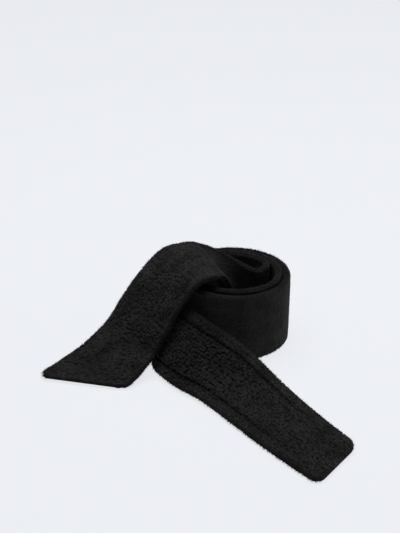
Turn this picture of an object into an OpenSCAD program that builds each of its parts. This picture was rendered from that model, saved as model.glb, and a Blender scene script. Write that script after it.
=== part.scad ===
// Necktie of thick short-pile cloth, loosely rolled on its edge, with both
// ends pulled out: the wide blade end flops over the roll, and the narrow
// tail end runs off along the surface. One strip runs through everything:
// blade end -> over the rim -> across the core -> out through the turns ->
// tail end. Every piece is a length of that strip, or is sewn to its back.

/* [Strip] */
// Width of the strip at the blade end and in the middle of the roll
blade_w = 75; // [74:0.5:76]
// Width of the strip where it leaves the roll
leave_w = 72; // [71:0.5:73]
// Width of the strip at the tail end
tail_w = 60; // [56:1:66]
// Thickness of the strip, both faces of cloth with their pile
strip_t = 5.5; // [5:0.1:5.6]
// Thickness of the shell cloth, pile included
shell_t = 2; // [1.6:0.1:2]
// Radius of the corners at both ends
corner_r = 11; // [8:1:14]
// How far the blade end leans out of square, in mm over each mm of width
blade_slant = 0.45; // [0.3:0.05:0.5]
// How far the tail end leans out of square, in mm over each mm of width
tail_slant = 0.16; // [0.1:0.02:0.24]

/* [Roll] */
// Half of the roll's length across X, to the middle of the outer turn
roll_a = 55.6; // [55:0.2:56]
// Half of the roll's depth along Y, to the middle of the outer turn
roll_b = 48.3; // [48:0.1:48.8]
// How far each turn lies inside the one around it
turn_pitch = 7.6; // [7.5:0.1:7.7]
// How far each inner turn sits back from the one around it
turn_shift = 2; // [1.8:0.1:2.2]
// Turns in the roll, not counting the chord across the core
turns = 2.42; // [2.4:0.01:2.44]

/* [Sewn pieces] */
// Width of the keeper loop along the strip
keeper_w = 10; // [8:1:14]
// Length of the keeper loop across the strip
keeper_l = 62; // [58:1:64]
// Height of the space that the keeper loop leaves for the tail
keeper_gap = 2.4; // [2:0.2:3]
// Thickness of the sewing thread
thread_d = 0.6; // [0.5:0.1:0.8]

/* [Hidden] */

// ---- Route of the strip's middle line ----
// Each station: x, y, z, then the heading and the tilt of the direction that
// runs from the lower edge to the upper edge of the rolled strip.
rim = blade_w;
BLADE_ROUTE = [
    [-132, -82, 3.6, 145, 0.7], [-121, -69, 4.2, 141, 0.7], [-104, -51, 9.5, 134, -1],
    [-87, -35, 21.5, 128, 0], [-73, -26, 43, 125, 1], [-58, -17, 65, 121, 0],
    [-40, -6, rim + 7, 119, -2]
];
CHORD_ROUTE = [
    [-21, 5, rim + 7.5, 121, -2], [-11.5, 7, rim + 2.5, 119, 6], [-6, 4, 69, 117, 21],
    [0, 3.5, 58.5, 113, 39], [9, 5, 47.5, 110, 59], [19, 5, 40.5, 106, 78],
    [31, 1.5, 38, 106, 90], [41, 9, 37.5, 106, 90]
];
TAIL_ROUTE = [
    [-46.5, -13, 36, 20, 85], [-50, -29, 35, 24, 70], [-50, -48, 32, 32, 58],
    [-30, -69, 27, 39, 45], [1, -89, 17.5, 42, 26], [31, -121, 9, 41, 11],
    [61, -157, 5.5, 42, 5], [96, -196, 3, 43, 0]
];
SMOOTH_STEPS = 4;
TURN_STEP = 12;

// A turn of the roll: n counts turns inwards from where the tail leaves it.
// The strip stands on its lower edge there, so its heading is free: it is the
// one that the chord or the tail next to it starts from.
CHORD_HEADING = 106;
TAIL_HEADING = 20;
function roll_width(n) = leave_w + (blade_w - leave_w) * n / turns;
function turn_station(n) =
    let (phi = 180 - 360 * n)
    [10.4 + (roll_a - turn_pitch * n) * cos(phi),
     -1.6 + turn_shift * n + (roll_b - turn_pitch * n) * sin(phi),
     roll_width(n) / 2, n > 1 ? CHORD_HEADING : TAIL_HEADING, 90];
TURN_COUNT = round(turns * 360 / TURN_STEP);
TURNS_OUT = [for (i = [TURN_COUNT:-1:0]) turn_station(i * turns / TURN_COUNT)];

// Points between p1 and p2 on a smooth line through four stations
function between(p0, p1, p2, p3, t) =
    0.5 * (2 * p1 + (p2 - p0) * t + (2 * p0 - 5 * p1 + 4 * p2 - p3) * t * t
           + (3 * p1 - p0 - 3 * p2 + p3) * t * t * t);
function smoothed(c) = [for (i = [1:len(c) - 3], k = [0:SMOOTH_STEPS - 1])
    between(c[i - 1], c[i], c[i + 1], c[i + 2], k / SMOOTH_STEPS)];
function last(c) = c[len(c) - 1];
function flat(c) = [for (part = c) each part];

BLADE_LINE = smoothed(flat([[2 * BLADE_ROUTE[0] - BLADE_ROUTE[1]], BLADE_ROUTE, [CHORD_ROUTE[0]]]));
CHORD_LINE = smoothed(flat([[last(BLADE_ROUTE)], CHORD_ROUTE, [TURNS_OUT[0], TURNS_OUT[1]]]));
JOIN_LINE = smoothed(flat([[BLADE_ROUTE[5], last(BLADE_ROUTE), CHORD_ROUTE[0], CHORD_ROUTE[1]]]));
TAIL_LINE = smoothed(flat([[TURNS_OUT[TURN_COUNT - 1], last(TURNS_OUT)], TAIL_ROUTE,
                           [2 * last(TAIL_ROUTE) - TAIL_ROUTE[len(TAIL_ROUTE) - 2]]]));
LINE = flat([BLADE_LINE, JOIN_LINE, CHORD_LINE, [for (i = [0:TURN_COUNT - 1]) TURNS_OUT[i]],
             TAIL_LINE, [last(TAIL_ROUTE)]]);
LAST = len(LINE) - 1;
// Where the blade and the tail are cut from the part in the roll
BLADE_CUT = len(BLADE_LINE);
TAIL_CUT = LAST - round(2.5 * SMOOTH_STEPS);
// Where the neck, the part in the roll, divides into simpler lengths
CROSSING_END = BLADE_CUT + SMOOTH_STEPS + len(CHORD_LINE) - 2;
LEAVING_START = LAST - len(TAIL_LINE) - 2;
TURNS_SPLIT = LEAVING_START - round(360 / TURN_STEP);
cut_gap = 0.4;

// ---- Frame of the strip at station i, which may lie between two stations ----
function station(i) =
    let (k = min(floor(i), LAST - 1), f = i - k) LINE[k] * (1 - f) + LINE[k + 1] * f;
function middle(i) = let (s = station(i)) [s[0], s[1], s[2]];
function unit(v) = v / norm(v);
function along(i) = unit(middle(min(i + 1, LAST)) - middle(max(i - 1, 0)));
function across(i) =
    let (s = station(i)) [cos(s[4]) * cos(s[3]), cos(s[4]) * sin(s[3]), sin(s[4])];
function outward(i) = unit(cross(along(i), across(i)));

// Length run from the blade end to each station
RUN = [for (i = 0, s = 0; i <= LAST; s = s + (i < LAST ? norm(middle(i + 1) - middle(i)) : 0),
        i = i + 1) s];
LENGTH = last(RUN);
function run(i) = let (k = min(floor(i), LAST - 1), f = i - k) RUN[k] * (1 - f) + RUN[k + 1] * f;
function to_blade_end(i) = run(i);
function to_tail_end(i) = LENGTH - run(i);
function to_end(i) = min(to_blade_end(i), to_tail_end(i));

// The strip narrows a little through the roll, and more along the tail
ROLL_START = BLADE_CUT + SMOOTH_STEPS + len(CHORD_LINE);
TAIL_START = LAST - len(TAIL_LINE);
function width(i) = i <= ROLL_START ? blade_w
    : i <= TAIL_START ? blade_w + (leave_w - blade_w) * (i - ROLL_START) / (TAIL_START - ROLL_START)
    : leave_w + (tail_w - leave_w) * (i - TAIL_START) / (LAST - TAIL_START);
// What the round corners take off each edge at distance d from an end
function corner_cut(d) = d >= corner_r ? 0
    : corner_r - sqrt(corner_r * corner_r - (corner_r - d) * (corner_r - d));
function half_width(i) = width(i) / 2 - corner_cut(to_end(i));
// How far a point at the side of the strip runs ahead, for the slanted ends
slant_reach = 90;
function slant(i) =
    -blade_slant * max(0, 1 - to_blade_end(i) / slant_reach)
    - tail_slant * max(0, 1 - to_tail_end(i) / slant_reach);
function from_route(i, u, v) =
    middle(i) + across(i) * u + along(i) * slant(i) * u + outward(i) * v;
// A length of the strip through the stations in rings. profile(i) gives its
// outline at station i, as [across, through] points, counter-clockwise. Every
// side is split along the same diagonal, so that layers stay parallel where
// the strip twists. A hollow outline comes with ribs: for each point of its
// outer row, the number of the point of the inner row that faces it.
function end_face(n, ribs) = len(ribs) == 0 ? [[for (j = [0:n - 1]) j]] :
    [for (j = [0:len(ribs) - 2]) each (ribs[j] == ribs[j + 1] ? [[j, j + 1, ribs[j]]] :
        [[j, j + 1, ribs[j]], [j + 1, ribs[j + 1], ribs[j]]])];
module swept(rings, profile, ribs = []) {
    outlines = [for (i = rings) profile(i)];
    n = len(outlines[0]);
    points = [for (r = [0:len(rings) - 1], p = outlines[r]) place(rings[r], p[0], p[1])];
    sides = [for (r = [0:len(rings) - 2], j = [0:n - 1])
        let (a = r * n + j, b = r * n + (j + 1) % n,
             rising = outlines[r][j][0] < outlines[r][(j + 1) % n][0])
        each (rising ? [[a, a + n, b + n], [a, b + n, b]] : [[a, a + n, b], [a + n, b + n, b]])];
    end = (len(rings) - 1) * n;
    first_face = end_face(n, ribs);
    last_face = [for (f = first_face) [for (j = reversed(f)) end + j]];
    polyhedron(flat([points]), concat(sides, first_face, last_face), convexity = 10);
}

// Rings of each length: close together round the corners of both ends, at the
// hem, and where the opening down the back starts and ends. Distances are
// counted from the nearer end; side is 1 at the blade end and -1 at the tail.
hem = 10;
opening_from = 46;
opening_to = 66;
END_STEPS = [0, 0.2, 0.8, 2, 4, 6.5, 9.5, 10.5, 14, 19, 25];
half_gap = cut_gap / 2;
ring_clear = 1.5;
function station_at(d, side) =
    let (target = side > 0 ? d : LENGTH - d,
         k = [for (i = [0:LAST - 1]) if (RUN[i] <= target && RUN[i + 1] > target) i][0])
    is_undef(k) ? LAST : k + (target - RUN[k]) / (RUN[k + 1] - RUN[k]);
function nudged(i, gap) = i + gap / (gap > 0 ? RUN[i + 1] - RUN[i] : RUN[i] - RUN[i - 1]);
function from_end(i, side) = side > 0 ? to_blade_end(i) : to_tail_end(i);
function span(d0, d1, side) = [for (i = [1:LAST - 1])
    if (from_end(i, side) > d0 + ring_clear && from_end(i, side) < d1 - ring_clear) i];
function end_rings(side) = [for (d = END_STEPS) station_at(d, side)];
function reversed(c) = [for (k = [len(c) - 1:-1:0]) c[k]];
BLADE_RINGS = flat([end_rings(1), span(last(END_STEPS), opening_from, 1),
                    [station_at(opening_from, 1)], span(opening_from, opening_to, 1),
                    [station_at(opening_to, 1)], span(opening_to, RUN[BLADE_CUT], 1),
                    [nudged(BLADE_CUT, -half_gap)]]);
NECK_RINGS = flat([[nudged(BLADE_CUT, half_gap)], [for (i = [BLADE_CUT + 1:TAIL_CUT - 1]) i],
                   [nudged(TAIL_CUT, -half_gap)]]);
TAIL_RINGS = flat([[nudged(TAIL_CUT, half_gap)], span(opening_to, LENGTH - RUN[TAIL_CUT], -1),
                   [station_at(opening_to, -1)], span(opening_from, opening_to, -1),
                   [station_at(opening_from, -1)], span(last(END_STEPS), opening_from, -1),
                   reversed(end_rings(-1))]);

// The origin lies on the floor, in the middle of the box round the strip
function middle_of(values) = (min(values) + max(values)) / 2;
OUTLINE = [for (i = flat([BLADE_RINGS, NECK_RINGS, TAIL_RINGS]), u = [-1, 1], v = [-1, 1])
    from_route(i, u * half_width(i), v * strip_t / 2)];
HOME = [middle_of([for (p = OUTLINE) p[0]]), middle_of([for (p = OUTLINE) p[1]]), 0];
function place(i, u, v) = from_route(i, u, v) - HOME;

// ---- Sections of the strip ----
half_t = strip_t / 2;
edge_round = 0.8;
slit_w = 1.2;
opening_w = 44;
// Half of the gap between the shell's two folded edges, down the back
function half_slit(i) =
    let (d = to_end(i), grow = min(1, max(0, (opening_to - d) / (opening_to - opening_from))))
    d < hem ? slit_w / 2 : slit_w / 2 + (opening_w - slit_w) / 2 * grow;
// The shell is one cloth folded round to the back, where its edges meet
function shell_outline(i) =
    let (h = half_width(i), s = half_slit(i), e = edge_round, q = h - shell_t, p = half_t - shell_t)
    [[s, -half_t], [h - e, -half_t], [h, -half_t + e], [h, half_t - e], [h - e, half_t],
     [s, half_t], [-s, half_t], [-h + e, half_t], [-h, half_t - e], [-h, -half_t + e],
     [-h + e, -half_t], [-s, -half_t], [-s, -p], [-q, -p], [-q, p], [-s, p], [s, p], [q, p],
     [q, -p], [s, -p]];
SHELL_RIBS = [19, 18, 18, 17, 17, 16, 15, 14, 14, 13, 13, 12];
// The interlining lies loose in the shell's pocket
pocket_play = 0.2;
function interlining_outline(i) =
    let (h = half_width(i) - shell_t - 2 * pocket_play, p = half_t - shell_t - pocket_play,
         s = half_slit(i))
    [[h, -p], [h, p], [s, p], [-s, p], [-h, p], [-h, -p], [-s, -p], [s, -p]];
// The tipping fills the opening between the folded edges near an end
tipping_inset = 0.3;
tipping_t = 1;
function tipping_outline(i) =
    let (s = half_slit(i) - 0.3, low = -half_t + tipping_inset)
    [[s, low], [s, low + tipping_t], [-s, low + tipping_t], [-s, low]];
// The slip stitch runs down the slit
function stitch_outline(i) = [for (a = [0:60:300])
    [cos(a), sin(a)] * thread_d / 2 + [0, -half_t + shell_t / 2]];

// ---- The strip's lengths ----
CLOTH = [0.05, 0.05, 0.055];
WOOL = [0.75, 0.73, 0.68];
LINING = [0.09, 0.09, 0.1];
THREAD = [0.07, 0.07, 0.08];
LABEL = [0.2, 0.2, 0.21];

module shell(rings) {
    color(CLOTH) swept(rings, function(i) shell_outline(i), SHELL_RIBS);
}
module interlining(rings) {
    color(WOOL) swept(rings, function(i) interlining_outline(i));
}
module slip_stitch(rings) {
    color(THREAD) swept(rings, function(i) stitch_outline(i));
}
// The rings between two distances from an end, so that a sewn piece bends
// exactly where the shell does
function stretch(d0, d1, side) =
    let (a = station_at(side > 0 ? d0 : d1, side), b = station_at(side > 0 ? d1 : d0, side),
         near = 0.02)
    flat([[a], [for (i = side > 0 ? BLADE_RINGS : TAIL_RINGS) if (i > a + near && i < b - near) i],
          [b]]);

module blade_shell() shell(BLADE_RINGS);
function neck_part(a, b) = [for (i = NECK_RINGS) if (i >= a && i <= b) i];
module crossing_shell() shell(neck_part(0, CROSSING_END));
module inner_turns_shell() shell(neck_part(CROSSING_END, TURNS_SPLIT));
module outer_turn_shell() shell(neck_part(TURNS_SPLIT, LEAVING_START));
module leaving_shell() shell(neck_part(LEAVING_START, LAST));
module tail_shell() shell(TAIL_RINGS);

lining_back = shell_t + pocket_play;
function inner_rings(rings) = [for (i = rings) if (to_end(i) >= lining_back) i];
module blade_interlining()
    interlining(flat([[station_at(lining_back, 1)], inner_rings(BLADE_RINGS)]));
module neck_interlining() interlining(NECK_RINGS);
module tail_interlining()
    interlining(flat([inner_rings(TAIL_RINGS), [station_at(lining_back, -1)]]));

module tipping(side) {
    color(LINING) swept(stretch(hem + 1, opening_to - 1, side), function(i) tipping_outline(i));
}
module blade_tipping() tipping(1);
module tail_tipping() tipping(-1);

stitch_from = opening_to + 1;
module blade_slip_stitch()
    slip_stitch([for (i = BLADE_RINGS) if (to_end(i) >= stitch_from) i]);
module neck_slip_stitch() slip_stitch(NECK_RINGS);
module tail_slip_stitch()
    slip_stitch([for (i = TAIL_RINGS) if (to_end(i) >= stitch_from) i]);

// ---- Pieces sewn to the back of the strip ----
// A flat patch on the back, between two distances from an end
patch_gap = 0.15;
module patch(d0, d1, side, half, thick) {
    top = -half_t - patch_gap;
    swept(stretch(d0, d1, side),
          function(i) [[half, top - thick], [half, top], [-half, top], [-half, top - thick]]);
}
tack_l = 9;
tack_w = 1.6;
tack_t = 0.5;
module bar_tack(side) {
    color(THREAD) patch(opening_to, opening_to + tack_w, side, tack_l / 2, tack_t);
}
module blade_bar_tack() bar_tack(1);
module tail_bar_tack() bar_tack(-1);

// The keeper loop stands off the back, so the tail end can pass through it
keeper_at = 100;
keeper_t = 0.9;
keeper_slope = 3;
KEEPER_RIBS = [17, 17, 17, 16, 15, 14, 13, 12, 11, 11, 11];
function keeper_side(v, reach) = [for (k = [-2:2]) [k * reach / 2, v]];
module keeper_loop() {
    top = -half_t - patch_gap;
    half = keeper_l / 2;
    low = top - keeper_gap;
    wide = half - keeper_slope;
    color(CLOTH) swept(stretch(keeper_at, keeper_at + keeper_w, 1), function(i) flat([
        [[-half - 3, top], [-half - 3, top - keeper_t], [-half - 1, top - keeper_t]],
        keeper_side(low - keeper_t, wide),
        [[half + 1, top - keeper_t], [half + 3, top - keeper_t], [half + 3, top], [half, top]],
        reversed(keeper_side(low, wide - 0.5)),
        [[-half, top]]
    ]), KEEPER_RIBS);
}
// Two rows of stitches hold the loop's ends
module keeper_tacks() {
    half = keeper_l / 2;
    top = -half_t - patch_gap * 2 - keeper_t;
    color(THREAD) for (s = [-1, 1])
        swept(stretch(keeper_at + 1, keeper_at + keeper_w - 1, 1), function(i)
            [[s * (half + 2) + 0.4, top - tack_t], [s * (half + 2) + 0.4, top],
             [s * (half + 2) - 0.4, top], [s * (half + 2) - 0.4, top - tack_t]]);
}
label_t = 0.35;
module blank_label() { color(LABEL) patch(76, 90, 1, 21, label_t); }
module care_label() { color(LABEL) patch(118, 134, 1, 7, label_t); }

// A row of stitches across the back, where two lengths of shell join
stitch_pitch = 5;
stitch_l = 3;
stitch_gap = 0.5;
module join_stitch(i, ahead) {
    top = -half_t - stitch_gap;
    reach = floor((width(i) / 2 - 5) / stitch_pitch);
    color(THREAD) for (k = [-reach:reach])
        swept([nudged(i, ahead), nudged(i, ahead + thread_d)], function(j)
            let (u = k * stitch_pitch, h = stitch_l / 2)
            [[u + h, top - thread_d], [u + h, top], [u - h, top], [u - h, top - thread_d]]);
}
join_inset = 2.5;
module blade_join_stitch() join_stitch(BLADE_CUT, join_inset);
module tail_join_stitch() join_stitch(TAIL_CUT, -join_inset - thread_d);

blade_shell();
crossing_shell();
inner_turns_shell();
outer_turn_shell();
leaving_shell();
tail_shell();
blade_interlining();
neck_interlining();
tail_interlining();
blade_tipping();
tail_tipping();
blade_slip_stitch();
neck_slip_stitch();
tail_slip_stitch();
blade_bar_tack();
tail_bar_tack();
keeper_loop();
keeper_tacks();
blank_label();
care_label();
blade_join_stitch();
tail_join_stitch();
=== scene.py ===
# %% [markdown]
# # A necktie of curly pile cloth, loosely rolled
# This lesson dresses a finished mechanical model of a necktie. The model
# brings the exact sizes, the pieces and the two places where the tie can be
# lifted. Blender's job is the cloth itself. Everything is in metres, in the
# model's own frame, so no piece ever has to be fitted by eye.

# %% Load the model
import bpy
import numpy as np
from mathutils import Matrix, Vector


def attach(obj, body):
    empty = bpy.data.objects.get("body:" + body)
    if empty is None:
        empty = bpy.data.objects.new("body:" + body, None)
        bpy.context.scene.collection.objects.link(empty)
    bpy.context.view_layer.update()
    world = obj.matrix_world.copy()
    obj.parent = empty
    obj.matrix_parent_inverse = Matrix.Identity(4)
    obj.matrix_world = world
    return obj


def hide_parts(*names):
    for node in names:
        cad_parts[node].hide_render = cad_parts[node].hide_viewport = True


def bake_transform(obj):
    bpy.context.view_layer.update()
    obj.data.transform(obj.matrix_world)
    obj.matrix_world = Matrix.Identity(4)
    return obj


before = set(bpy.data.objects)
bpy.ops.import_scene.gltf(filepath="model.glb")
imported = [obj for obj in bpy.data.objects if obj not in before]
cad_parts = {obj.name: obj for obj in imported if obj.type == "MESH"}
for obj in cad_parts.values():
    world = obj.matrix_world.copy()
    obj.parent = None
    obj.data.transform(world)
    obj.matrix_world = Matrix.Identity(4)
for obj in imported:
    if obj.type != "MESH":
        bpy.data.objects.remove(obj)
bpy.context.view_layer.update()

MM = 0.001          # the tie's own measures below are in millimetres

# %% [markdown]
# ## The camera
# A long lens far away keeps the tie's shape honest: close, wide lenses swell
# whatever is nearest. The lens is given on the tall side of the frame, because
# that is the side that has to hold the whole tie.

# %% Place the camera
scene = bpy.context.scene
camera_data = bpy.data.cameras.new("tie_camera")
camera_data.sensor_fit = "VERTICAL"
camera_data.sensor_height = 36
camera_data.lens = 81.05
camera_data.clip_end = 20
camera = bpy.data.objects.new("tie_camera", camera_data)
camera.location = (0.007, -0.8863, 0.6804)
camera.rotation_euler = (np.radians(58.18), 0, 0)
scene.collection.objects.link(camera)
scene.camera = camera
scene.view_settings.view_transform = "Standard"

# %% [markdown]
# ## The floor and the light
# Black cloth shows its shape only through soft highlights on the pile. A bright
# room all round would fill the hollows and turn the black to grey, so the room
# is dim, and two panels do the work: a large one overhead for every face that
# looks up, and a weaker one from the right to round the roll. A studio floor
# is pale paper lit from all sides. Mixing a glow into a matt finish gives it
# that look with one plane, and leaves only a faint shadow under the tie.

# %% Floor
def link(tree, a, b):
    tree.links.new(a, b)

def shader(name):
    """A new material with nothing in it but its output."""
    material = bpy.data.materials.new(name)
    material.use_nodes = True
    tree = material.node_tree
    tree.nodes.clear()
    out = tree.nodes.new("ShaderNodeOutputMaterial")
    return material, tree, out

paper, tree, out = shader("paper_floor")
matt = tree.nodes.new("ShaderNodeBsdfDiffuse")
glow = tree.nodes.new("ShaderNodeEmission")
mix = tree.nodes.new("ShaderNodeMixShader")
matt.inputs["Color"].default_value = (0.82, 0.84, 0.87, 1)
glow.inputs["Color"].default_value = (0.832, 0.85, 0.887, 1)
mix.inputs["Fac"].default_value = 0.9
link(tree, matt.outputs["BSDF"], mix.inputs[1])
link(tree, glow.outputs["Emission"], mix.inputs[2])
link(tree, mix.outputs["Shader"], out.inputs["Surface"])

FLOOR_SIZE, FLOOR_DROP = 60, 0.0002     # a hair below the tie, so the two never flicker
bpy.ops.mesh.primitive_plane_add(size=FLOOR_SIZE, location=(0, 0, -FLOOR_DROP))
floor = bpy.context.object
floor.name = "floor"
floor.data.materials.append(paper)

# %% Light
world = bpy.data.worlds.new("room")
scene.world = world
world.use_nodes = True
room = world.node_tree.nodes["Background"]
room.inputs["Color"].default_value = (0.95, 0.95, 0.96, 1)
room.inputs["Strength"].default_value = 0.13

AIM = Vector((0, 0.05, 0.04))          # the middle of the roll, about half way up

def panel_light(name, size, power, place):
    data = bpy.data.lights.new(name, "AREA")
    data.shape = "RECTANGLE"
    data.size, data.size_y = size
    data.energy = power
    lamp = bpy.data.objects.new(name, data)
    lamp.location = place
    lamp.rotation_euler = (AIM - Vector(place)).to_track_quat("-Z", "Y").to_euler()
    scene.collection.objects.link(lamp)

panel_light("panel_above", (1.2, 0.8), 22, (0, 0.25, 1.3))
panel_light("panel_right", (0.7, 0.7), 5, (1.2, 0.15, 0.45))

# %% [markdown]
# ## The route of the strip
# A necktie is one long folded strip. Rolling it doesn't stretch it: it only
# bends and twists. So the whole tie follows from one line through space and
# the direction across the strip at each point of that line. The points below
# are the model's own, and a smooth curve goes through them: blade end, over
# the rim, across the core, out through the turns of the roll, tail end.
# Each station is x, y, z in millimetres, then the heading and the tilt of the
# direction from the lower edge to the upper edge.

# %% Stations
BLADE_W, LEAVE_W, TAIL_W = 75, 72, 60
ROLL_A, ROLL_B, PITCH, SHIFT, TURNS = 55.6, 48.3, 7.6, 2, 2.42
RIM = BLADE_W
BLADE_ROUTE = [
    [-132, -82, 3.6, 145, 0.7], [-121, -69, 4.2, 141, 0.7], [-104, -51, 9.5, 134, -1],
    [-87, -35, 21.5, 128, 0], [-73, -26, 43, 125, 1], [-58, -17, 65, 121, 0],
    [-40, -6, RIM + 7, 119, -2]]
CHORD_ROUTE = [
    [-21, 5, RIM + 7.5, 121, -2], [-11.5, 7, RIM + 2.5, 119, 6], [-6, 4, 69, 117, 21],
    [0, 3.5, 58.5, 113, 39], [9, 5, 47.5, 110, 59], [19, 5, 40.5, 106, 78],
    [31, 1.5, 38, 106, 90], [41, 9, 37.5, 106, 90]]
TAIL_ROUTE = [
    [-46.5, -13, 36, 20, 85], [-50, -29, 35, 24, 70], [-50, -48, 32, 32, 58],
    [-30, -69, 27, 39, 45], [1, -89, 17.5, 42, 26], [31, -121, 9, 41, 11],
    [61, -157, 5.5, 42, 5], [96, -196, 3, 43, 0]]
FINE = 4                # points between two stations of a turn
COARSE = 4 * FINE       # and between two stations of the free ends and the core

# %% Smooth line through the stations
ROLL_MIDDLE = (10.4, -1.6)

def turn_station(n):
    """Station n turns inwards from where the tail end leaves the roll."""
    phi = np.radians(180 - 360 * n)
    width = LEAVE_W + (BLADE_W - LEAVE_W) * n / TURNS
    return [ROLL_MIDDLE[0] + (ROLL_A - PITCH * n) * np.cos(phi),
            ROLL_MIDDLE[1] + SHIFT * n + (ROLL_B - PITCH * n) * np.sin(phi),
            width / 2, 106 if n > 1 else 20, 90]

def smoothed(c):
    """Points on the smooth curve through all but the first and last of c."""
    c = np.array(c, float)
    line = []
    for p0, p1, p2, p3 in zip(c[:-3], c[1:-2], c[2:-1], c[3:]):
        for t in np.arange(COARSE) / COARSE:
            line.append(0.5 * (2 * p1 + (p2 - p0) * t + (2 * p0 - 5 * p1 + 4 * p2 - p3) * t**2
                               + (3 * p1 - p0 - 3 * p2 + p3) * t**3))
    return line

def past(c, a, b):
    """As far beyond station a as station b lies before it."""
    return list(2 * np.array(c[a], float) - np.array(c[b], float))

TURN_COUNT = round(TURNS * 30)
turns = [turn_station(i * TURNS / TURN_COUNT) for i in range(TURN_COUNT, -1, -1)]
FINE_COUNT = TURN_COUNT * FINE
fine_turns = [turn_station(i * TURNS / FINE_COUNT) for i in range(FINE_COUNT, 0, -1)]
LINE = np.array(
    smoothed([past(BLADE_ROUTE, 0, 1)] + BLADE_ROUTE + [CHORD_ROUTE[0]])
    + smoothed([BLADE_ROUTE[-2], BLADE_ROUTE[-1], CHORD_ROUTE[0], CHORD_ROUTE[1]])
    + smoothed([BLADE_ROUTE[-1]] + CHORD_ROUTE + [turns[0], turns[1]])
    + fine_turns
    + smoothed([turns[-2], turns[-1]] + TAIL_ROUTE + [past(TAIL_ROUTE, -1, -2)])
    + [TAIL_ROUTE[-1]])
count = len(LINE)
print("points on the line:", count)

# %% [markdown]
# ## From the line to the strip
# Three directions belong to each point: along the strip, across it, and out of
# its face. With them, a place on the strip is just three numbers: how far
# along, how far across, and how high above the strip's middle layer. Every
# piece of the tie is made with these three numbers, which keeps seams on the
# seam and labels on the cloth, however the strip bends.

# %% Directions, lengths and widths
middle = LINE[:, :3]
step = np.vstack([middle[1] - middle[0], middle[2:] - middle[:-2], middle[-1] - middle[-2]])
along = step / np.linalg.norm(step, axis=1)[:, None]
heading, tilt = np.radians(LINE[:, 3]), np.radians(LINE[:, 4])
across = np.c_[np.cos(tilt) * np.cos(heading), np.cos(tilt) * np.sin(heading), np.sin(tilt)]
outward = np.cross(along, across)
outward /= np.linalg.norm(outward, axis=1)[:, None]
run = np.r_[0, np.cumsum(np.linalg.norm(np.diff(middle, axis=0), axis=1))]
LENGTH = run[-1]

index = np.arange(count)
blade_cut = (len(BLADE_ROUTE) - 1) * COARSE
roll_start = blade_cut + (1 + len(CHORD_ROUTE)) * COARSE
tail_start = roll_start + FINE_COUNT
tail_cut = count - 1 - 10 * FINE
through_roll = np.clip((index - roll_start) / (tail_start - roll_start), 0, 1)
down_tail = (index - tail_start) / (count - 1 - tail_start)
width = np.where(index <= tail_start, BLADE_W + (LEAVE_W - BLADE_W) * through_roll,
                 LEAVE_W + (TAIL_W - LEAVE_W) * down_tail)
print(f"strip: {LENGTH:.0f} mm long, lifting from {run[blade_cut]:.0f} mm "
      f"and {LENGTH - run[tail_cut]:.0f} mm before its ends")

# %% A place on the strip
CORNER = 11                             # radius of the four corners
SLANT_REACH = 90                        # how far up each end its slant is felt
BLADE_SLANT, TAIL_SLANT = 0.45, 0.16    # how far one corner runs ahead, per millimetre across

def at(values, s):
    return np.stack([np.interp(s, run, values[:, k]) for k in range(3)], axis=-1)

def to_end(s):
    return np.minimum(s, LENGTH - s)

def half_width(s):
    d = np.clip(to_end(s), 0, CORNER)
    rounded = CORNER - np.sqrt(CORNER**2 - (CORNER - d)**2)
    return np.interp(s, run, width) / 2 - rounded

def place(s, u, v, home=(0, 0, 0)):
    s, u, v = np.broadcast_arrays(np.asarray(s, float), u, v)
    lean = (-BLADE_SLANT * np.clip(1 - s / SLANT_REACH, 0, 1)
            - TAIL_SLANT * np.clip(1 - (LENGTH - s) / SLANT_REACH, 0, 1))
    return (at(middle, s) + at(across, s) * u[..., None] + at(along, s) * (lean * u)[..., None]
            + at(outward, s) * v[..., None] - np.array(home))

HALF_T = 2.75                           # half of the strip's thickness
edges = np.concatenate([place(run, a * half_width(run), b * HALF_T)
                        for a in (-1, 1) for b in (-1, 1)])
HOME = np.r_[(edges.min(0) + edges.max(0))[:2] / 2, 0]

def on_strip(s, u, v):
    return place(s, u, v, HOME) * MM

print("home of the route, mm:", HOME.round(2))

# %% [markdown]
# ## The pile
# The cloth has a short curly pile, like astrakhan: tight little curls two to
# three millimetres across, standing up in the middle of the strip. Along the
# edges and the ends the pile is pressed flatter, on the roll it is nearly
# smooth, and down the tail end a groove runs where the flat border meets the
# curls. A sculpted or a displaced surface could show this, but one formula for
# the height at each place is simpler to adjust: around scattered centres the
# surface rises like a small dome, in three sizes that are added up.

# %% Domes for the curls
CELLS_ALONG, CELLS_ACROSS = 1024, 64
DOME = 0.72                             # radius of a dome, in cells

def curls(s, u, size, seed):
    """Domes round scattered centres, one in each cell of a grid: 1 at a top, 0 between."""
    centres = np.random.default_rng(seed).random((2, CELLS_ALONG, CELLS_ACROSS))
    shift = CELLS_ACROSS // 2
    cs, cu = np.floor(s / size).astype(int), np.floor(u / size).astype(int) + shift
    nearest = np.full(np.shape(s), 9.0)
    for ds in (-1, 0, 1):
        for du in (-1, 0, 1):
            i, j = (cs + ds) % CELLS_ALONG, np.clip(cu + du, 0, CELLS_ACROSS - 1)
            ps = (cs + ds + 0.15 + 0.7 * centres[0][i, j]) * size
            pu = (cu - shift + du + 0.15 + 0.7 * centres[1][i, j]) * size
            nearest = np.minimum(nearest, np.hypot(s - ps, u - pu) / size)
    return 1 - np.clip(nearest / DOME, 0, 1)**2

def soft_step(x, a, b):
    """Rises from 0 at a to 1 at b, without a kink."""
    t = np.clip((x - a) / (b - a), 0, 1)
    return t * t * (3 - 2 * t)

# %% Height of the pile
BORDER = 9                              # width of the flatter border
GROOVE_IN = BORDER + 1.6                # the groove's distance from the edge
MID_CURL, FINE_CURL = (3.1, 3), (1.9, 4)     # size in millimetres, and seed
ROLL_FROM, ROLL_TO = run[blade_cut] + 40, run[tail_start] + 25

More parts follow.
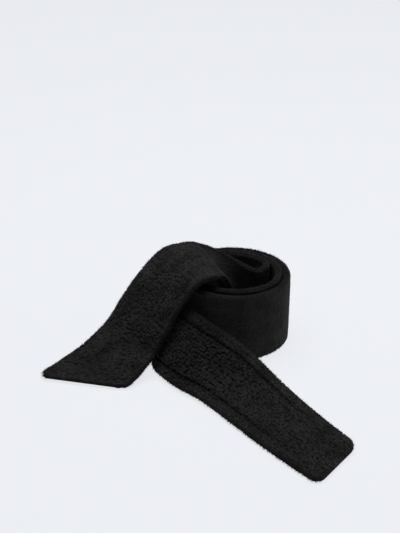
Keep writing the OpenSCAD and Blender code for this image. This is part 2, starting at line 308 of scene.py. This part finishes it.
def in_roll(s):
    """1 on the roll, where the pile is smooth, and 0 on the free ends."""
    return (soft_step(s, ROLL_FROM - 25, ROLL_FROM + 15)
            * (1 - soft_step(s, ROLL_TO - 10, ROLL_TO + 30)))

def on_tail(s):
    return soft_step(s, ROLL_TO, ROLL_TO + 30)

def from_edge(s, u, h):
    return np.minimum(h - np.abs(u), np.maximum(to_end(s), 0))

def groove(s, u, h, half):
    """1 in the middle of the tail end's groove, fading out towards the tip."""
    return (np.exp(-((from_edge(s, u, h) - GROOVE_IN) / half)**2)
            * on_tail(s) * soft_step(LENGTH - s, 12, 110))

def pile_height(s, u, h):
    """Height over the strip's own face, in millimetres, at width h to either side."""
    s, u, h = np.broadcast_arrays(s, u, h)
    centre = soft_step(from_edge(s, u, h), BORDER - 3, BORDER + 3)
    rolled = in_roll(s)
    curl = (1.8 * curls(s, u, *MID_CURL) + 1.0 * curls(s, u, *FINE_CURL)
            + 0.7 * curls(s, u, 9.0, 5))
    height = (-2 + (0.65 + 0.35 * centre) * (1 - 0.8 * rolled) * curl
              + 0.35 * (1 - centre) * on_tail(s) + 1.9 * rolled)
    return height - 1.6 * groove(s, u, h, 1.5)

on_centre = pile_height(np.arange(60.0, 120.0), 0.0, BLADE_W / 2)
print(f"pile on the blade end: {on_centre.min():.1f} to {on_centre.max():.1f} mm over its face")

# %% [markdown]
# ## The shell
# The shell is cut twice as wide as the tie, folded in from both sides, and
# sewn where the folds meet, down the back. So its section is a long flat ring
# with a slit. Near each end the folds part and leave an opening, which the
# lining fills. A solidified plane would give the cloth its thickness but not
# its folds, so the section is drawn whole. The mesh is a grid: one row of
# points round the section, then the next row a millimetre or so further on,
# closer on the free ends and wider apart inside the roll. Points made in numpy
# and handed over in one go are quick even for a hundred thousand faces.

# %% Section of the shell
HEM, OPEN_FROM, OPEN_TO = 10, 46, 66    # distances from an end of the strip
OPEN_W, SLIT = 44, 0.4
FOLD_R, SOFT_END = 2.35, 3              # radius of the folded edges; length of a rounded-off end

def half_slit(s):
    """Half of the gap between the two folds, down the back."""
    d = to_end(s)
    grow = np.clip((OPEN_TO - d) / (OPEN_TO - OPEN_FROM), 0, 1)
    return np.where(d < HEM, SLIT / 2, SLIT / 2 + (OPEN_W - SLIT) / 2 * grow)

def section(s, front, back):
    """One row of (across, height) points round the shell's section for each s."""
    s = s[:, None]
    h = half_width(s)
    b = np.maximum(np.minimum(half_slit(s), h - 6), SLIT / 2)
    d = np.clip(to_end(s), 0, SOFT_END)
    thin = 0.2 + 0.8 * np.sqrt(1 - (1 - d / SOFT_END)**2)
    r = FOLD_R * thin
    t = np.linspace(1, -1, front)[None, :]
    face_u = (h - r) * t
    face_v = (HALF_T + pile_height(s, face_u, h)) * thin
    arc = np.linspace(0, np.pi, 11)[None, 1:-1]
    ragged = (1.5 - 0.9 * in_roll(s)) * curls(s + 0 * arc, 60 + 4 * arc, 3.0, 6) * thin - 0.5
    out, up = r + ragged, r + ragged * 0.5
    back_arc = arc[:, ::-1]
    left_u, left_v = -(h - r) - out * np.sin(arc), up * np.cos(arc)
    right_u, right_v = (h - r) + out * np.sin(back_arc), up * np.cos(back_arc)
    t = np.linspace(0, 1, back)[None, :]
    back_u = b + (h - r - b) * t
    back_pile = 0.35 * curls(s, back_u + 100, 2.4, 7)
    back_v = -(HALF_T - 0.75 + back_pile + 1.2 * in_roll(s)) * thin
    t = np.linspace(0, 1, 6)[None, :]
    q, p = h - 2.4, 0.6 * thin * soft_step(d, 1, SOFT_END) + 0.02
    pocket_u = np.concatenate([-b - (q - b) * t, -q * (1 - 2 * t), q - (q - b) * t], axis=1)
    pocket_v = np.concatenate([-p + 0 * t, p + 0 * t, -p + 0 * t], axis=1)
    us = [face_u, left_u, -back_u[:, ::-1], pocket_u, back_u, right_u]
    vs = [face_v, left_v, back_v[:, ::-1], pocket_v, back_v, right_v]
    return np.concatenate(us, axis=1), np.concatenate(vs, axis=1)

# %% A grid of points becomes a mesh
def mesh_from(name, points, faces, material):
    mesh = bpy.data.meshes.new(name)
    mesh.from_pydata(points.reshape(-1, 3).tolist(), [], faces)
    mesh.polygons.foreach_set("use_smooth", [True] * len(mesh.polygons))
    mesh.materials.append(material)
    mesh.update()
    piece = bpy.data.objects.new(name, mesh)
    scene.collection.objects.link(piece)
    return piece

def tube_faces(rows, columns):
    """Faces of a grid whose rows close on themselves, with both ends shut."""
    i, j = np.meshgrid(np.arange(rows - 1), np.arange(columns), indexing="ij")
    a, b = i * columns + j, i * columns + (j + 1) % columns
    quads = np.stack([a, b, b + columns, a + columns], axis=-1).reshape(-1, 4).tolist()
    last = (rows - 1) * columns
    return quads + [list(range(columns - 1, -1, -1)), list(range(last, last + columns))]

def set_pile_shade_and_tone(piece, values):
    """Store, at each point of the mesh, a number that scales its colour: for a shell mostly how far up
    the pile it stands, which the finish turns into painted shade in the hollows and a painted
    highlight on the tips; for a hair a random tone.
    """
    layer = piece.data.attributes.new("pile", "FLOAT", "POINT")
    layer.data.foreach_set("value", values.reshape(-1).astype(np.float32))

# %% [markdown]
# ## The pile's finish and its painted shade
# Black cloth isn't black all over: the tips of the curls catch the light, and
# the hollows between them swallow it. Light alone shows too little of that on
# so dark a cloth. So each shell carries one number per point, mostly how far up
# the pile that point stands, and the finish scales the colour with it: painted
# shade in the hollows between the curls and in the tail end's groove, and a
# painted highlight on the tips, lighter than the cloth's own colour. Over that,
# the colour runs between two near-blacks in small patches, a trace of sheen
# lifts what is seen edge-on, and a fine bump adds hairs that are too small for
# the mesh. The flat cloth of the loop uses the same finish without the painted
# shade of the pile.

# %% Cloth material
# Painted shade and painted highlight: where the pile number is low the colour drops to a small share,
# at the curl tops it rises above the cloth's own colour.
SHADED_HOLLOW, LIT_TIP = (0.2, 0.04), (0.85, 1.75)     # place in the pile, share of the colour

def cloth_finish(name, dark, light, sheen, hair, hair_depth, rough=0.85, paint_pile_shade=False):
    """hair is the fineness of the single hairs; paint_pile_shade scales the colour by the pile number,
    painting shade into the hollows and a highlight on the tips.
    """
    material, tree, out = shader(name)
    new = tree.nodes.new
    body = new("ShaderNodeBsdfPrincipled")
    where = new("ShaderNodeTexCoord")
    cells = new("ShaderNodeTexVoronoi")
    cells.inputs["Scale"].default_value = 420
    cells.inputs["Randomness"].default_value = 1
    fuzz = new("ShaderNodeTexNoise")
    fuzz.inputs["Scale"].default_value = hair
    fuzz.inputs["Detail"].default_value = 6
    fuzz.inputs["Roughness"].default_value = 0.7
    broad = new("ShaderNodeTexNoise")
    broad.inputs["Scale"].default_value = 60
    broad.inputs["Detail"].default_value = 3
    for texture in (cells, fuzz, broad):
        link(tree, where.outputs["Object"], texture.inputs["Vector"])
    blend = new("ShaderNodeMath")
    blend.operation = "MULTIPLY"
    link(tree, fuzz.outputs["Fac"], blend.inputs[0])
    link(tree, broad.outputs["Fac"], blend.inputs[1])
    ramp = new("ShaderNodeValToRGB")
    ramp.color_ramp.elements[0].position = 0.12
    ramp.color_ramp.elements[0].color = (*dark, 1)
    ramp.color_ramp.elements[1].position = 0.42
    ramp.color_ramp.elements[1].color = (*light, 1)
    link(tree, blend.outputs[0], ramp.inputs["Fac"])
    colour = ramp.outputs["Color"]
    # Painted shade and highlight: the colour times a share read from the pile number.
    if paint_pile_shade:
        height = new("ShaderNodeAttribute")
        height.attribute_name = "pile"
        shade_share = new("ShaderNodeMapRange")
        for end, (place_in_pile, share) in (("Min", SHADED_HOLLOW), ("Max", LIT_TIP)):
            shade_share.inputs["From " + end].default_value = place_in_pile
            shade_share.inputs["To " + end].default_value = share
        shade = new("ShaderNodeVectorMath")
        shade.operation = "SCALE"
        link(tree, height.outputs["Fac"], shade_share.inputs["Value"])
        link(tree, colour, shade.inputs[0])
        link(tree, shade_share.outputs["Result"], shade.inputs["Scale"])
        colour = shade.outputs["Vector"]
    link(tree, colour, body.inputs["Base Color"])
    body.inputs["Roughness"].default_value = rough
    body.inputs["Specular IOR Level"].default_value = 0.12
    body.inputs["Sheen Weight"].default_value = sheen
    body.inputs["Sheen Roughness"].default_value = 0.5
    body.inputs["Sheen Tint"].default_value = (0.8, 0.8, 0.82, 1)
    curl_bump = new("ShaderNodeBump")
    curl_bump.invert = True
    curl_bump.inputs["Strength"].default_value = 0.7
    curl_bump.inputs["Distance"].default_value = 0.0008
    hair_bump = new("ShaderNodeBump")
    hair_bump.inputs["Strength"].default_value = 0.8
    hair_bump.inputs["Distance"].default_value = hair_depth
    link(tree, cells.outputs["Distance"], curl_bump.inputs["Height"])
    link(tree, fuzz.outputs["Fac"], hair_bump.inputs["Height"])
    link(tree, curl_bump.outputs["Normal"], hair_bump.inputs["Normal"])
    link(tree, hair_bump.outputs["Normal"], body.inputs["Normal"])
    link(tree, body.outputs["BSDF"], out.inputs["Surface"])
    return material

curly_pile = cloth_finish("curly_pile", (0.0015, 0.0015, 0.0015), (0.0145, 0.0141, 0.014),
                          0.03, 1400, 0.0006, paint_pile_shade=True)

# %% [markdown]
# ## Three lengths of shell
# The strip is one cloth, but it moves in three parts: the blade end lifts, the
# tail end lifts, and the roll stays. Each end's cloth reaches well past its
# hinge line into the roll. The lengths meet where nobody sees it, in the core
# and under the blade, and since the pile is one pattern for the whole strip,
# they match.

# %% Rows of each shell, closer together where the pile is seen
def stations_of(a, b, pitch):
    return np.linspace(a, b, int(round((b - a) / pitch)) + 1)

def end_spread(length, pitch):
    """From the tip of an end inwards: the first rows round it off."""
    near = np.array([0, 0.15, 0.4, 0.8, 1.3, 1.9, 2.5, 3.1])
    return np.r_[near, stations_of(3.8, length, pitch)]

core_meet = run[40 * FINE]              # in the core, past the crest
left_meet = run[139 * FINE]             # under the blade, where the strip leaves the roll
outer_from = run[tail_start] - 345      # one turn before it leaves
SEEN, CROSSING, HIDDEN, OUTER = 0.75, 1.2, 2.6, 1.0
blade_stations = end_spread(core_meet, SEEN)
roll_stations = np.r_[stations_of(core_meet, core_meet + 60, CROSSING)[:-1],
                      stations_of(core_meet + 60, outer_from, HIDDEN)[:-1],
                      stations_of(outer_from, left_meet, OUTER)]
tail_stations = LENGTH - end_spread(LENGTH - left_meet, SEEN)[::-1]
print("rows:", len(blade_stations), len(roll_stations), len(tail_stations))

# %% Make the shells
def shell_piece(name, stations, front, back):
    """front and back are the numbers of points across the two faces."""
    u, v = section(stations, front, back)
    points = on_strip(stations[:, None], u, v)
    piece = mesh_from(name, points, tube_faces(len(stations), u.shape[1]), curly_pile)
    s, h = stations[:, None], half_width(stations)[:, None]
    # The number behind the painted shade: curl tops high, hollows low, the tail end's groove lower
    # still for painted shade in it, and on the roll a flat middle value; sides and back stay at 0.45.
    curl = np.where((np.abs(u) < h - 2) & (v > 0),
                    0.5 * curls(s, u, *MID_CURL) + 0.5 * curls(s, u, *FINE_CURL), 0.45)
    calm = in_roll(s)
    set_pile_shade_and_tone(piece, curl * (1 - 0.7 * calm) + 0.4 * calm - 0.5 * groove(s, u, h, 2) * (v > 0))
    print(name, "faces:", len(piece.data.polygons))
    return piece

blade_cloth = shell_piece("blade_cloth", blade_stations, 92, 26)
roll_cloth = shell_piece("roll_cloth", roll_stations, 76, 22)
tail_cloth = shell_piece("tail_cloth", tail_stations, 92, 26)

# %% [markdown]
# ## The two hinge lines
# Cloth that is lifted bends over a short length. Cut at the hinge, it would
# tear open there. No blend is made here, though: the points on the strip's own
# middle line, a bend's reach to either side of each hinge, are worked out and
# not used, each end's pieces only have their placing baked into their points,
# and the roll's pieces are attached to the roll.

# %% The hinge lines, and each end's pieces baked in place
def on_line(s):
    return tuple(float(x) for x in on_strip(s, 0.0, 0.0))

blade_hinge, tail_hinge = run[blade_cut], run[tail_cut]
BEND = 14                               # the bend reaches this far to either side

def with_blade(piece):
    on_line(blade_hinge + BEND)
    on_line(blade_hinge - BEND)
    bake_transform(piece)

def with_tail(piece):
    on_line(tail_hinge - BEND)
    on_line(tail_hinge + BEND)
    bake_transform(piece)

with_blade(blade_cloth)
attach(roll_cloth, "roll")
with_tail(tail_cloth)
ROLL_NODES = ["crossing_shell", "inner_turns_shell", "outer_turn_shell", "leaving_shell"]
for piece, nodes in ((blade_cloth, ["blade_shell"]), (tail_cloth, ["tail_shell"]),
                     (roll_cloth, ROLL_NODES)):
    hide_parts(*nodes)
print("hinges at", round(blade_hinge), "and", round(tail_hinge), "mm along the strip")

# %% [markdown]
# ## Loose hairs
# Even a well-brushed pile has hairs that stand off it, and they are what makes
# the outline of such a cloth look soft. Blender's hair system would do, but
# its strands can't be exported as a mesh of known size. So each hair is a
# narrow ribbon of three bent pieces that starts in the pile and leans over in
# a random direction, more of them along the edges than on the face. They are a
# piece of their own for each length of shell, so the shell stays a clean
# sheet, and they move exactly as their shell does.

# %% Hairs for one length of shell
PER_HAIR = 4                            # rows of two points
HAIR_HALF = 0.17                        # half of a hair's width where it starts

def hairs(name, s_from, s_to, amount, seed):
    r = np.random.default_rng(seed)
    s = r.uniform(s_from + 0.4, s_to - 0.4, amount)
    h = half_width(s)
    side = r.random(amount) < 0.55
    u = np.where(side, np.sign(r.random(amount) - 0.5) * (h - 0.6), r.uniform(-1, 1, amount) * (h - 1))
    v = np.where(side, r.uniform(-1.8, 2.2, amount), HALF_T + pile_height(s, u, h) - 0.35)
    lean = r.uniform(0, 2 * np.pi, amount)
    long = r.uniform(0.9, 2.6, amount) * (1 - 0.35 * in_roll(s))
    out_u = np.where(side, np.sign(u) * 0.75, 0.55 * np.cos(lean))
    out_v = np.where(side, 0.5 * np.sin(lean), 0.75)
    out_s = 0.55 * np.sin(lean + 1)
    t = np.linspace(0, 1, PER_HAIR)[None, :]
    bend = 0.9 * t * t
    s, u, v, long, lean, out_s, out_u, out_v = (
        x[:, None] for x in (s, u, v, long, lean, out_s, out_u, out_v))
    path_s = s + long * (out_s * t + bend * 0.5 * np.cos(3 * lean))
    path_u = u + long * (out_u * t + bend * 0.4 * np.sin(2 * lean))
    path_v = v + long * (out_v * t - bend * 0.35)
    path_s = np.clip(path_s, 0, LENGTH)
    thick = HAIR_HALF * (1 - 0.8 * t)
    left = on_strip(path_s - thick, path_u - thick, path_v)
    right = on_strip(path_s + thick, path_u + thick, path_v)
    points = np.stack([left, right], axis=2)
    k = np.arange(amount)[:, None] * 2 * PER_HAIR
    i = np.arange(PER_HAIR - 1)[None, :] * 2
    quads = np.stack([k + i, k + i + 1, k + i + 3, k + i + 2], axis=-1).reshape(-1, 4).tolist()
    piece = mesh_from(name, points, quads, curly_pile)
    # A random tone for each hair, on the same colour scale as the pile's painted shade.
    set_pile_shade_and_tone(piece, np.repeat(r.uniform(0.3, 1, amount), 2 * PER_HAIR))
    return piece

blade_hairs = hairs("blade_hairs", 0, core_meet, 15000, 21)
roll_hairs = hairs("roll_hairs", core_meet, left_meet, 24000, 22)
tail_hairs = hairs("tail_hairs", left_meet, LENGTH, 15000, 23)
with_blade(blade_hairs)
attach(roll_hairs, "roll")
with_tail(tail_hairs)

# %% The shell's length when it lies flat; its cloth is cut twice as wide as the tie
print("shell cloth in metres:", round(float(LENGTH) * MM, 3), "long when unrolled")

# %% [markdown]
# ## Inside the strip: the interlining
# A strip of brushed wool lies loose inside the shell and gives a tie its body.
# It is hardly seen, but it is a piece of its own, so it gets its own mesh: a
# flat band with soft edges, in three lengths, split where the shells are split.
# The wool is dark, as for a black tie, so that none of it gleams in the seam.

# %% Flat bands that follow the strip
def band(name, stations, half, low, high, material, columns, ripple):
    """A closed flat band. half(s) is half its width at station s, low and high its faces."""
    s = stations[:, None]
    t = np.linspace(1, -1, columns)[None, :]
    w = half(stations)[:, None]
    wave = ripple * (curls(s + 0 * t, w * t + 80, 5.5, 11) - 0.5)
    soft = 0.12 * (high - low)
    between = (high + low) / 2 + 0 * w
    u = np.concatenate([w * t, -w - soft, w * t[:, ::-1], w + soft], axis=1)
    v = np.concatenate([high + wave, between, low + wave[:, ::-1], between], axis=1)
    return mesh_from(name, on_strip(s, u, v), tube_faces(len(stations), u.shape[1]), material)

# %% Brushed wool
wool, tree, out = shader("brushed_wool")
body = tree.nodes.new("ShaderNodeBsdfPrincipled")
noise = tree.nodes.new("ShaderNodeTexNoise")
noise.inputs["Scale"].default_value = 700
noise.inputs["Detail"].default_value = 8
ramp = tree.nodes.new("ShaderNodeValToRGB")
ramp.color_ramp.elements[0].color = (0.05, 0.047, 0.042, 1)
ramp.color_ramp.elements[1].color = (0.12, 0.115, 0.105, 1)
bump = tree.nodes.new("ShaderNodeBump")
bump.inputs["Strength"].default_value = 0.6
bump.inputs["Distance"].default_value = 0.0006
body.inputs["Roughness"].default_value = 0.95
body.inputs["Sheen Weight"].default_value = 0.3
link(tree, noise.outputs["Fac"], ramp.inputs["Fac"])
link(tree, ramp.outputs["Color"], body.inputs["Base Color"])
link(tree, noise.outputs["Fac"], bump.inputs["Height"])
link(tree, bump.outputs["Normal"], body.inputs["Normal"])
link(tree, body.outputs["BSDF"], out.inputs["Surface"])

# %% Three lengths of interlining
WOOL_END = 4.5                          # the wool stops this short of the tips

def wool_half(s):
    return half_width(s) - 3.2

def wool_piece(name, a, b, pitch, node):
    stations = stations_of(a, b, pitch)
    piece = band(name, stations, wool_half, -0.3, 0.3, wool, columns=14, ripple=0.1)
    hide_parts(node)
    return piece

with_blade(wool_piece("blade_wool", WOOL_END, core_meet, 2, "blade_interlining"))
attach(wool_piece("roll_wool", core_meet, left_meet, 2.5, "neck_interlining"), "roll")
with_tail(wool_piece("tail_wool", left_meet, LENGTH - WOOL_END, 2, "tail_interlining"))
print("interlining: 3 lengths")

# %% [markdown]
# ## The lining in the openings
# Turn either end over and a smooth lining shows where the folded edges part.
# Linings are a twill with a soft shine: fine slanting ridges, closer together
# than the eye can count. Modelling them would take more faces than the rest of
# the tie. A wave texture turned across the cloth draws them instead.

# %% Twill lining
def twill(name, dark, light, pitch, angle, rough):
    """pitch is the distance of the ridges in millimetres, angle their slant in degrees."""
    material, tree, out = shader(name)
    new = tree.nodes.new
    body, bump = new("ShaderNodeBsdfPrincipled"), new("ShaderNodeBump")
    where, turn = new("ShaderNodeTexCoord"), new("ShaderNodeMapping")
    wave, cloud, ramp = new("ShaderNodeTexWave"), new("ShaderNodeTexNoise"), new("ShaderNodeValToRGB")
    turn.inputs["Rotation"].default_value = (0.3, 0.2, np.radians(angle))
    wave.inputs["Scale"].default_value = 1 / (pitch * MM * 6)
    wave.inputs["Distortion"].default_value = 0.6
    wave.inputs["Detail"].default_value = 2
    cloud.inputs["Scale"].default_value = 90
    link(tree, where.outputs["Object"], turn.inputs["Vector"])
    link(tree, turn.outputs["Vector"], wave.inputs["Vector"])
    link(tree, where.outputs["Object"], cloud.inputs["Vector"])
    join = new("ShaderNodeMath")
    join.operation = "MULTIPLY"
    link(tree, wave.outputs["Fac"], join.inputs[0])
    link(tree, cloud.outputs["Fac"], join.inputs[1])
    ramp.color_ramp.elements[0].color = (*dark, 1)
    ramp.color_ramp.elements[1].color = (*light, 1)
    ramp.color_ramp.elements[1].position = 0.6
    link(tree, join.outputs[0], ramp.inputs["Fac"])
    link(tree, ramp.outputs["Color"], body.inputs["Base Color"])
    body.inputs["Roughness"].default_value = rough
    body.inputs["Specular IOR Level"].default_value = 0.1
    body.inputs["Sheen Weight"].default_value = 0.02
    bump.inputs["Strength"].default_value = 0.35
    bump.inputs["Distance"].default_value = 0.0002
    link(tree, wave.outputs["Fac"], bump.inputs["Height"])
    link(tree, bump.outputs["Normal"], body.inputs["Normal"])
    link(tree, body.outputs["BSDF"], out.inputs["Surface"])
    return material

# %% A lining at each end
lining = twill("lining_twill", (0.003, 0.003, 0.0035), (0.012, 0.012, 0.014), 0.5, 35, 0.5)
lining_rows = stations_of(HEM + 0.6, OPEN_TO - 1, 1.5)

def lining_half(s):
    return np.maximum(half_slit(s) - 0.2, 0.4)

def lining_piece(name, stations, node, body):
    piece = band(name, stations, lining_half, -2.35, -1.75, lining, columns=16, ripple=0.35)
    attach(piece, body)
    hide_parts(node)

lining_piece("blade_lining", lining_rows, "blade_tipping", "blade")
lining_piece("tail_lining", LENGTH - lining_rows[::-1], "tail_tipping", "tail")
print(f"linings: {OPEN_W} mm wide, {np.ptp(lining_rows):.0f} mm long")

# %% [markdown]
# ## Loop and labels
# The loop across the back holds the tail end when the tie is worn. It is a
# strip of the same black cloth, pressed flat, arched just enough to let the
# tail through. Between it and the tip sits a woven label, and on its other
# side a small care label; both are blank here. The labels can be the same flat
# band as the interlining. The loop can't, because it leaves the strip's face,
# so its two faces are drawn as an arch.

# %% Keeper loop
flat_cloth = cloth_finish("pressed_cloth", (0.003, 0.003, 0.003), (0.013, 0.013, 0.0135),
                          0.05, 2200, 0.0002, 0.75)
KEEPER_AT, KEEPER_W, KEEPER_L = 100, 10, 62
KEEPER_GAP, KEEPER_T, FLANGE = 2.4, 0.85, 3     # room for the tail; thickness; sewn end

keeper_rows = stations_of(KEEPER_AT, KEEPER_AT + KEEPER_W, 0.8)
s = keeper_rows[:, None]
u = np.linspace(1, -1, 60)[None, :] * (KEEPER_L / 2 + FLANGE)
arch = soft_step(KEEPER_L / 2 + 0.6 - np.abs(u), 0, 4)
crown = 1 - ((s - KEEPER_AT - KEEPER_W / 2) / (KEEPER_W / 2))**2
inner = -HALF_T - 0.1 - KEEPER_GAP * arch - 0.15 * crown
outer = inner[:, ::-1] - KEEPER_T - 0.12 * crown
points = on_strip(s, np.concatenate([u, u[:, ::-1]], axis=1), np.concatenate([inner, outer], axis=1))
keeper_band = mesh_from("keeper_band", points, tube_faces(*points.shape[:2]), flat_cloth)
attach(keeper_band, "blade")
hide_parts("keeper_loop")
print("keeper loop:", KEEPER_W, "by", KEEPER_L + 2 * FLANGE, "mm")

# %% Labels
satin = twill("label_satin", (0.01, 0.01, 0.012), (0.04, 0.04, 0.045), 0.3, 90, 0.4)

def label(name, s0, s1, half, node):
    piece = band(name, stations_of(s0, s1, 0.7), lambda s: half + 0 * s,
                 -HALF_T - 0.42, -HALF_T - 0.1, satin, columns=24, ripple=0.12)
    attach(piece, "blade")
    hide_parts(node)

label("woven_label", 76, 90, 21, "blank_label")
label("small_care_label", 118, 134, 7, "care_label")
print("labels: 2, blank")

# %% [markdown]
# ## Thread
# Stitches are what an eye looks for on a sewn thing turned over. A line drawn
# on the cloth would look printed. So each stitch is a tiny capsule of thread,
# thicker in its middle, that dips into the cloth at both ends. One helper lays
# them wherever two points on the strip are given.

# %% Sewing thread
thread, tree, out = shader("sewing_thread")
body = tree.nodes.new("ShaderNodeBsdfPrincipled")
twist = tree.nodes.new("ShaderNodeTexNoise")
twist.inputs["Scale"].default_value = 3000
ramp = tree.nodes.new("ShaderNodeValToRGB")
ramp.color_ramp.elements[0].color = (0.01, 0.01, 0.012, 1)
ramp.color_ramp.elements[1].color = (0.06, 0.06, 0.066, 1)
body.inputs["Roughness"].default_value = 0.55
link(tree, twist.outputs["Fac"], ramp.inputs["Fac"])
link(tree, ramp.outputs["Color"], body.inputs["Base Color"])
link(tree, body.outputs["BSDF"], out.inputs["Surface"])

# %% Stitches
RINGS, ROUND = 7, 8                     # rings along one stitch, points round each

def stitches(name, ends, thick, dip):
    """ends has a row of s0, u0, s1, u1, v for each stitch: two ends, and its height."""
    t = np.linspace(0, 1, RINGS)[:, None]
    turn = np.linspace(0, 2 * np.pi, ROUND, endpoint=False)[None, :]
    radius = thick / 2 * np.sqrt(np.clip(1 - (2 * t - 1)**2 * 0.96, 0.04, 1))
    sink = dip * (2 * t - 1)**2
    side, rise = np.cos(turn) * radius, np.sin(turn) * radius
    points, faces = [], []
    for k, (s0, u0, s1, u1, v) in enumerate(ends):
        run_s, run_u = s1 - s0, u1 - u0
        long = np.hypot(run_s, run_u)
        points.append(on_strip(s0 + run_s * t - side * run_u / long,
                               u0 + run_u * t + side * run_s / long, v + sink + rise))
        faces += [[i + k * RINGS * ROUND for i in f] for f in tube_faces(RINGS, ROUND)]
    print(name, "stitches:", len(points))
    return mesh_from(name, np.array(points), faces, thread)

# %% The seam down the back
SEAM_HALF, SEAM_STEP = 0.75, 1.9        # reach across the slit, and along it

def seam(name, s0, s1, pitch):
    rows = [[s, -SEAM_HALF, s + SEAM_STEP, SEAM_HALF, -HALF_T + 0.75]
            for s in np.arange(s0, s1 - 2, pitch)]
    return stitches(name, rows, 0.6, 0.3)

seam_from = OPEN_TO + 2
blade_seam = seam("blade_seam", seam_from, core_meet, 3.2)
roll_seam = seam("roll_seam", core_meet, left_meet, 4.8)
tail_seam = seam("tail_seam", left_meet, LENGTH - seam_from, 3.2)
with_blade(blade_seam)
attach(roll_seam, "roll")
with_tail(tail_seam)

# %% A bar tack at the top of each opening
BAR_L, BAR_W = 9, 1.4

def bar(name, s0):
    """A few long threads across the strip, and short ones wound over them."""
    core = [[s0 + k * BAR_W / 5, -BAR_L / 2, s0 + k * BAR_W / 5, BAR_L / 2, -HALF_T + 0.1]
            for k in range(6)]
    wound = [[s0 - 0.3, u, s0 + BAR_W + 0.3, u, -HALF_T - 0.1]
             for u in np.linspace(-BAR_L / 2, BAR_L / 2, 14)]
    return stitches(name, core + wound, 0.45, 0.15)

blade_bar = bar("blade_bar", OPEN_TO)
tail_bar = bar("tail_bar", LENGTH - OPEN_TO - BAR_W)
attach(blade_bar, "blade")
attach(tail_bar, "tail")

# %% The loop's tacks, and the rows where two lengths of cloth join
tack_at = KEEPER_L / 2 + 2
tack_rows = [[s, side * tack_at, s + 1.6, side * tack_at, -HALF_T - 1.1]
             for side in (-1, 1) for s in np.arange(KEEPER_AT + 0.6, KEEPER_AT + 9, 2.2)]
loop_tacks = stitches("loop_tacks", tack_rows, 0.5, 0.25)
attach(loop_tacks, "blade")

def join_row(name, s, half):
    rows = [[s, u - 1.5, s + 0.3, u + 1.5, -HALF_T - 0.2] for u in np.arange(-half + 4, half - 3, 4.2)]
    return stitches(name, rows, 0.5, 0.35)

blade_join = join_row("blade_join", blade_hinge + 3, 37)
tail_join = join_row("tail_join", tail_hinge - 3, 31)
with_blade(blade_join)
with_tail(tail_join)

# %% Each row of thread stands for its node in the model
sewn = ((blade_seam, "blade_slip_stitch"), (roll_seam, "neck_slip_stitch"),
        (tail_seam, "tail_slip_stitch"), (blade_bar, "blade_bar_tack"),
        (tail_bar, "tail_bar_tack"), (loop_tacks, "keeper_tacks"),
        (blade_join, "blade_join_stitch"), (tail_join, "tail_join_stitch"))
for piece, node in sewn:
    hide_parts(node)
print("pieces of thread:", len(sewn))
